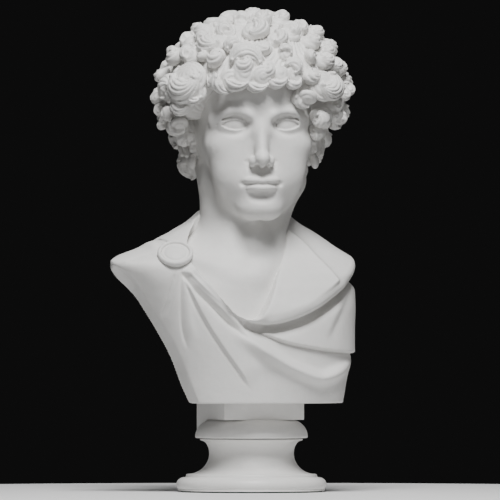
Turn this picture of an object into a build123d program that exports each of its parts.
"""A life-size marble portrait bust on a turned foot, built as its separate stones, pins and bedding.

Units are millimetres. The origin is the middle of the foot's resting face, +Z is up and the chest faces -Y.
The figure's right shoulder, with the brooch, is on the -X side, and the head turns towards it.
Three groups move apart: the foot stands still, the bedding washer turns on it, and the bust lifts off.
"""

import os

from build123d import *

# Heights of the joints between the stones, from the ground up
PAD_THICKNESS = 1.5
FOOT_TOP = 64.0
WASHER_THICKNESS = 1.2
CAP_BOTTOM = FOOT_TOP + WASHER_THICKNESS
CAP_TOP = 87.3
CHEST_BOTTOM = 107.5

# Turned foot
SOLE_RADIUS = 89.3
TORUS_RADIUS = 90.6
TORUS_MIDDLE = 8.5
TORUS_TOP = 17.8
TORUS_TOP_RADIUS = 78.9
FILLET_RADIUS = 77.0
FILLET_TOP = 21.8
SCOTIA_KNEE = (60.0, 29.3)
SCOTIA_RADIUS = 51.1
SCOTIA_WAIST = 47.0
SCOTIA_TOP_RADIUS = 61.0
SCOTIA_TOP_TANGENT = (1, 0.4)
FOOT_TOP_RADIUS = 62.0
FOOT_ARRIS = 1.2
FELT_MARGIN = 6.0

# Index block, with the quarter-round cap below it and the pillar stub behind
CAP_RADIUS = 68.0
CAP_NECK_RADIUS = 47.0
CAP_TOP_TANGENT = (-1, 0.1)
BLOCK_WIDTH = 102.0
BLOCK_FRONT = -45.0
BLOCK_BACK = 53.0
STUB_FRONT = 18.0
BLOCK_ARRIS = 2.5

# Chest shell: height, middle, half width and half depth of the oval at each level
CHEST_OVALS = (
    (CHEST_BOTTOM, 3.0, 106.0, 95.0),
    (165.0, 3.0, 120.0, 98.0),
    (222.0, -6.0, 136.0, 93.0),
    (270.0, -28.0, 156.0, 76.0),
)
SHOULDER_OVALS = (
    (270.0, -28.0, 156.0, 76.0),
    (284.0, -33.0, 148.0, 70.0),
    (302.0, -22.0, 108.0, 64.0),
    (330.0, -13.0, 70.0, 62.0),
)
SHELL_SHIFT = 38.0
SHELL_SIDE_WALL = 16.0
SHELL_ROOF = 206.0
PILLAR_HALF_WIDTH = 38.0
PILLAR_FRONT = -62.0
ARM_CUT_BOTTOM = (-81.0, CHEST_BOTTOM)
ARM_CUT_BEND = (-152.0, 246.0)
ARM_CUT_TIP = (-186.0, 280.0)
SHOULDER_END = -181.0
COLLAR_MIDDLE = (-22.0, -22.0, 266.0)
COLLAR_NORMAL = (0.0, -0.64, 0.77)
COLLAR_RADIUS = 86.0
COLLAR_ROLL = 13.0

# Head, with its neck worked as a round tenon for the socket in the chest
NECK_FOOT = (-27.0, -34.5, 232.0)
NECK_LINE = (20.0, 28.0, 112.0)
NECK_LENGTH = 179.0
TENON_RADIUS = 54.0
BEDDING = 2.0
HEAD_PLACE = (0.0, -8.0, 330.0)
HEAD_TURN = -14.0
FACE_OVALS = (  # height above the chin, half width, half depth, middle towards the back
    (-2.0, 24.0, 18.0, -62.0),
    (20.0, 44.0, 46.0, -42.0),
    (50.0, 58.0, 72.0, -20.0),
    (90.0, 68.0, 92.0, -2.0),
    (140.0, 72.0, 96.0, 2.0),
    (200.0, 60.0, 78.0, 4.0),
)
HAIR_MIDDLE_Y = 12.0
HAIR_BOTTOM = 72.0
HAIR_BOTTOM_RADIUS = 84.0
HAIR_WIDEST = 150.0
HAIR_RADIUS = 108.0
HAIR_SIDE = (104.0, 114.0)
HAIR_SHOULDER = (78.0, 212.0)
HAIR_TOP = 245.0
CROWN_FLAT = 12.0
HAIR_FRINGE = 152.0
FACE_OPENING_HALF_WIDTH = 68.0
FACE_OPENING_DEPTH = -22.0
NOSE_WIDTH = 26.0
NOSE_PROFILE = ((-84.0, 118.0), (-113.0, 68.0), (-106.0, 60.0), (-84.0, 62.0))  # depth, height above the chin
CURL_RADIUS = 22.0
CURL_RINGS = ((12, 98.0, 158.0), (9, 74.0, 205.0), (4, 34.0, 228.0))  # count, ring radius, height

# Fastenings
PIN_RADIUS = 8.0
PIN_BOTTOM = 24.0
PIN_TOP = 190.0
PIN_CHAMFER = 1.5
RUNNING_CLEARANCE = 0.06
BUSH_RADIUS = 11.0
BUSH_BOTTOM = 20.0
BUSH_FLOOR = 3.0
GROUT_RADIUS = 11.0
GROUT_BOTTOM = CAP_BOTTOM + 6.0
WASHER_RADIUS = 58.0
WASHER_HOLE = 9.5
DOWEL_RADIUS = 6.0
DOWEL_HALF_LENGTH = 46.0
BROOCH_PLACE = (-115.0, -49.0, 289.0)
BROOCH_NORMAL = (-0.22, -0.62, 0.75)
BROOCH_RADIUS = 22.0
BROOCH_THICKNESS = 5.0
BROOCH_CLEARANCE = 0.5
BROOCH_DISH_RADIUS = 16.0
BROOCH_DISH_DEPTH = 1.2
BROOCH_SEAT_DEPTH = 16.0
BROOCH_PIN_RADIUS = 1.6
BROOCH_PIN_HALF_LENGTH = 2.5
BROOCH_PIN_SINK = 14.0

OVERSIZE = 600.0
ON_FLOOR = (Align.CENTER, Align.CENTER, Align.MIN)
BELOW = (Align.CENTER, Align.CENTER, Align.MAX)
NECK_PLANE = Plane(NECK_FOOT, z_dir=NECK_LINE)
BROOCH_PLANE = Plane(BROOCH_PLACE, z_dir=BROOCH_NORMAL)
HEAD_PLANE = Plane(HEAD_PLACE).rotated((0, 0, HEAD_TURN))


def export(piece, name):
    """Labels a finished piece and writes it as its own STEP file."""
    piece.part.label = name
    export_step(piece.part, f"parts/{name}.step")


def make_felt_pad():
    """Felt disc under the foot, the face that the whole bust rests on."""
    with BuildPart() as felt_pad:
        Cylinder(TORUS_RADIUS - FELT_MARGIN, PAD_THICKNESS, align=ON_FLOOR)
    return felt_pad


def make_foot():
    """Turned foot: a half-round torus, a small fillet, a deep scotia and a flat top bored for the bush."""
    with BuildPart() as foot:
        with BuildSketch(Plane.XZ):
            with BuildLine():
                sole = Line((0, PAD_THICKNESS), (SOLE_RADIUS, PAD_THICKNESS))
                torus = ThreePointArc(sole @ 1, (TORUS_RADIUS, TORUS_MIDDLE), (TORUS_TOP_RADIUS, TORUS_TOP))
                step = Line(torus @ 1, (FILLET_RADIUS, FILLET_TOP))
                waist = (SCOTIA_RADIUS, SCOTIA_WAIST)
                lower = Spline(step @ 1, SCOTIA_KNEE, waist, tangents=((-1, 0), (0, 1)))
                lip = (SCOTIA_TOP_RADIUS, FOOT_TOP - FOOT_ARRIS)
                upper = Spline(lower @ 1, lip, tangents=((0, 1), SCOTIA_TOP_TANGENT))
                Polyline(upper @ 1, (FOOT_TOP_RADIUS, FOOT_TOP), (0, FOOT_TOP), sole @ 0)
            make_face()
        revolve(axis=Axis.Z)
        with BuildSketch(Plane.XY.offset(BUSH_BOTTOM)):
            Circle(BUSH_RADIUS)
        extrude(amount=FOOT_TOP - BUSH_BOTTOM, mode=Mode.SUBTRACT)
    return foot


def make_pin_bush():
    """Brass bush pressed into the foot, closed below, in which the turning pin runs."""
    with BuildPart() as pin_bush:
        with BuildSketch(Plane.XY.offset(BUSH_BOTTOM)):
            Circle(BUSH_RADIUS)
        extrude(amount=FOOT_TOP - BUSH_BOTTOM)
        with BuildSketch(Plane.XY.offset(BUSH_BOTTOM + BUSH_FLOOR)):
            Circle(PIN_RADIUS + RUNNING_CLEARANCE)
        extrude(amount=FOOT_TOP - BUSH_BOTTOM, mode=Mode.SUBTRACT)
    return pin_bush


def make_bedding_washer():
    """Thin washer that keeps the two stones apart, so that the bust can be turned without grinding."""
    with BuildPart() as bedding_washer:
        with BuildSketch(Plane.XY.offset(FOOT_TOP)):
            Circle(WASHER_RADIUS)
            Circle(WASHER_HOLE, mode=Mode.SUBTRACT)
        extrude(amount=WASHER_THICKNESS)
    return bedding_washer


def make_turning_pin():
    """Steel pin set in the bust's underside, with a chamfered lower end that enters the bush."""
    with BuildPart() as turning_pin:
        with BuildSketch(Plane.XY.offset(PIN_BOTTOM)):
            Circle(PIN_RADIUS)
        extrude(amount=PIN_TOP - PIN_BOTTOM)
        chamfer(turning_pin.faces().sort_by(Axis.Z)[0].edges(), PIN_CHAMFER)
    return turning_pin


def make_pin_grout():
    """Sleeve of grout that holds the turning pin in the index block and the chest."""
    with BuildPart() as pin_grout:
        with BuildSketch(Plane.XY.offset(GROUT_BOTTOM)):
            Circle(GROUT_RADIUS)
            Circle(PIN_RADIUS, mode=Mode.SUBTRACT)
        extrude(amount=PIN_TOP - GROUT_BOTTOM)
    return pin_grout


def bore_for_pin(radius, bottom, top):
    """Cuts a round hole on the upright axis between two heights in the current part."""
    with Locations((0, 0, bottom)):
        Cylinder(radius, top - bottom, align=ON_FLOOR, mode=Mode.SUBTRACT)


def make_index_block():
    """Squared block with a quarter-round cap turned below it and a full-height pillar stub behind."""
    with BuildPart() as index_block:
        with BuildSketch(Plane.XZ):
            with BuildLine():
                base = Line((0, CAP_BOTTOM), (CAP_RADIUS, CAP_BOTTOM))
                quarter = Spline(base @ 1, (CAP_NECK_RADIUS, CAP_TOP), tangents=((0, 1), CAP_TOP_TANGENT))
                Polyline(quarter @ 1, (0, CAP_TOP), base @ 0)
            make_face()
        revolve(axis=Axis.Z)
        with BuildSketch(Plane.XY.offset(CAP_TOP)):
            with Locations((0, (BLOCK_FRONT + BLOCK_BACK) / 2)):
                RectangleRounded(BLOCK_WIDTH, BLOCK_BACK - BLOCK_FRONT, BLOCK_ARRIS)
        extrude(amount=CHEST_BOTTOM - CAP_TOP)
        with BuildSketch(Plane.XY.offset(CAP_BOTTOM)):
            with Locations((0, (STUB_FRONT + BLOCK_BACK) / 2)):
                RectangleRounded(BLOCK_WIDTH, BLOCK_BACK - STUB_FRONT, BLOCK_ARRIS)
        extrude(amount=CAP_TOP - CAP_BOTTOM)
        bore_for_pin(PIN_RADIUS, CAP_BOTTOM, GROUT_BOTTOM)
        bore_for_pin(GROUT_RADIUS, GROUT_BOTTOM, CHEST_BOTTOM)
    return index_block


def make_oval_loft(ovals, ruled=False, side_wall=0.0, shift=0.0):
    """Lofts ovals stacked in height, narrower by a side wall and shifted to the back when asked."""
    with BuildPart() as body:
        for height, middle, half_width, half_depth in ovals:
            with BuildSketch(Plane.XY.offset(height)):
                with Locations((middle, shift)):
                    Ellipse(half_width - side_wall, half_depth)
        loft(ruled=ruled)
    return body.part


def make_shell_void():
    """The hollow behind the chest's front wall, below the roof and on both sides of the pillar."""
    with BuildPart() as void:
        add(make_oval_loft(CHEST_OVALS, side_wall=SHELL_SIDE_WALL, shift=SHELL_SHIFT))
        split(bisect_by=Plane.XY.offset(SHELL_ROOF), keep=Keep.BOTTOM)
        with BuildSketch(Plane.XY.offset(CHEST_BOTTOM)):
            with Locations((0, PILLAR_FRONT)):
                Rectangle(2 * PILLAR_HALF_WIDTH, OVERSIZE, align=(Align.CENTER, Align.MIN))
        extrude(amount=OVERSIZE, mode=Mode.SUBTRACT)
    return void.part


def make_chest():
    """Draped chest: a shell cut at the right arm, open behind beside its pillar, with a rolled collar."""
    with BuildPart() as chest:
        add(make_oval_loft(CHEST_OVALS))
        add(make_oval_loft(SHOULDER_OVALS, ruled=True))
        with Locations(Plane(COLLAR_MIDDLE, z_dir=COLLAR_NORMAL)):
            Torus(COLLAR_RADIUS, COLLAR_ROLL)
        with Locations(BROOCH_PLANE):
            Cylinder(BROOCH_RADIUS, BROOCH_SEAT_DEPTH, align=BELOW)
        add(make_shell_void(), mode=Mode.SUBTRACT)
        split(bisect_by=Plane.XZ.offset(-BLOCK_BACK), keep=Keep.TOP)
        split(bisect_by=Plane.YZ.offset(SHOULDER_END), keep=Keep.TOP)
        with BuildSketch(Plane.XZ):
            with BuildLine():
                side = Line(ARM_CUT_BOTTOM, ARM_CUT_BEND)
                tip = TangentArc(side @ 1, ARM_CUT_TIP, tangent=side % 1)
                outer = (-OVERSIZE, ARM_CUT_TIP[1])
                Polyline(tip @ 1, outer, (-OVERSIZE, 0), (ARM_CUT_BOTTOM[0], 0), side @ 0)
            make_face()
        extrude(amount=OVERSIZE, both=True, mode=Mode.SUBTRACT)
        with Locations(NECK_PLANE):
            Cylinder(TENON_RADIUS + BEDDING, OVERSIZE, align=ON_FLOOR, mode=Mode.SUBTRACT)
            Cylinder(DOWEL_RADIUS, 2 * DOWEL_HALF_LENGTH, mode=Mode.SUBTRACT)
        with Locations(BROOCH_PLANE):
            Cylinder(BROOCH_RADIUS + BROOCH_CLEARANCE, OVERSIZE, align=ON_FLOOR, mode=Mode.SUBTRACT)
            Cylinder(BROOCH_PIN_RADIUS, 2 * BROOCH_PIN_SINK, mode=Mode.SUBTRACT)
        bore_for_pin(GROUT_RADIUS, CHEST_BOTTOM, PIN_TOP)
    return chest


def make_neck_bedding():
    """Cup of lime putty between the neck's tenon and its socket."""
    with BuildPart() as neck_bedding:
        with Locations(NECK_PLANE):
            Cylinder(TENON_RADIUS + BEDDING, BEDDING, align=ON_FLOOR)
            Cylinder(DOWEL_RADIUS, 3 * BEDDING, mode=Mode.SUBTRACT)
    return neck_bedding


def make_neck_dowel():
    """Steel dowel half in the neck's tenon and half in the chest."""
    with BuildPart() as neck_dowel:
        with Locations(NECK_PLANE):
            Cylinder(DOWEL_RADIUS, 2 * DOWEL_HALF_LENGTH)
    return neck_dowel


def make_hair():
    """Cap of hair in the head's own frame, open over the face and ringed with curls."""
    with BuildPart() as hair:
        with BuildSketch(Plane.XZ):
            with BuildLine():
                bottom = Line((0, HAIR_BOTTOM), (HAIR_BOTTOM_RADIUS, HAIR_BOTTOM))
                side = ThreePointArc(bottom @ 1, HAIR_SIDE, (HAIR_RADIUS, HAIR_WIDEST))
                crown = TangentArc(side @ 1, HAIR_SHOULDER, tangent=side % 1)
                top = TangentArc(crown @ 1, (CROWN_FLAT, HAIR_TOP), tangent=crown % 1)
                Polyline(top @ 1, (0, HAIR_TOP), bottom @ 0)
            make_face()
        revolve(axis=Axis.Z)
        for count, ring_radius, height in CURL_RINGS:
            with Locations((0, 0, height)):
                with PolarLocations(ring_radius, count, start_angle=-90):
                    Sphere(CURL_RADIUS)
    return hair.part.moved(Location((0, HAIR_MIDDLE_Y, 0)))


def make_head():
    """Head and neck in one stone: face, hair and the round tenon that enters the chest."""
    hair = make_hair()
    with BuildPart() as skull:
        add(hair)
        with Locations((0, FACE_OPENING_DEPTH, 0)):
            in_front = (Align.CENTER, Align.MAX, Align.MIN)
            Box(2 * FACE_OPENING_HALF_WIDTH, OVERSIZE, HAIR_FRINGE, align=in_front, mode=Mode.SUBTRACT)
        for height, half_width, half_depth, middle in FACE_OVALS:
            with BuildSketch(Plane.XY.offset(height)):
                with Locations((0, middle)):
                    Ellipse(half_width, half_depth)
        loft()
        with BuildSketch(Plane.YZ):
            Polygon(*NOSE_PROFILE, align=None)
        extrude(amount=NOSE_WIDTH / 2, both=True)
    with BuildPart() as head:
        add(HEAD_PLANE.from_local_coords(skull.part))
        with Locations(NECK_PLANE):
            with Locations((0, 0, BEDDING)):
                Cylinder(TENON_RADIUS, NECK_LENGTH, align=ON_FLOOR)
            Cylinder(DOWEL_RADIUS, 2 * DOWEL_HALF_LENGTH, mode=Mode.SUBTRACT)
    return head


def make_brooch():
    """Round brooch: a disc with a raised rim around a shallow dish, standing on its seat in the cloak."""
    with BuildPart() as brooch:
        with Locations(BROOCH_PLANE):
            Cylinder(BROOCH_RADIUS, BROOCH_THICKNESS, align=ON_FLOOR)
            with Locations((0, 0, BROOCH_THICKNESS)):
                Cylinder(BROOCH_DISH_RADIUS, 2 * BROOCH_DISH_DEPTH, mode=Mode.SUBTRACT)
            Cylinder(BROOCH_PIN_RADIUS, 2 * BROOCH_PIN_HALF_LENGTH, mode=Mode.SUBTRACT)
    return brooch


def make_brooch_pin():
    """Brass pin that fixes the brooch to the chest."""
    with BuildPart() as brooch_pin:
        with Locations(BROOCH_PLANE.offset(BROOCH_PIN_HALF_LENGTH)):
            Cylinder(BROOCH_PIN_RADIUS, BROOCH_PIN_HALF_LENGTH + BROOCH_PIN_SINK, align=BELOW)
    return brooch_pin


def main():
    """Builds every piece and writes its file."""
    os.makedirs("parts", exist_ok=True)
    export(make_felt_pad(), "felt_pad")
    export(make_foot(), "foot")
    export(make_pin_bush(), "pin_bush")
    export(make_bedding_washer(), "bedding_washer")
    export(make_turning_pin(), "turning_pin")
    export(make_pin_grout(), "pin_grout")
    export(make_index_block(), "index_block")
    export(make_chest(), "chest")
    export(make_neck_bedding(), "neck_bedding")
    export(make_neck_dowel(), "neck_dowel")
    export(make_head(), "head")
    export(make_brooch(), "brooch")
    export(make_brooch_pin(), "brooch_pin")


main()
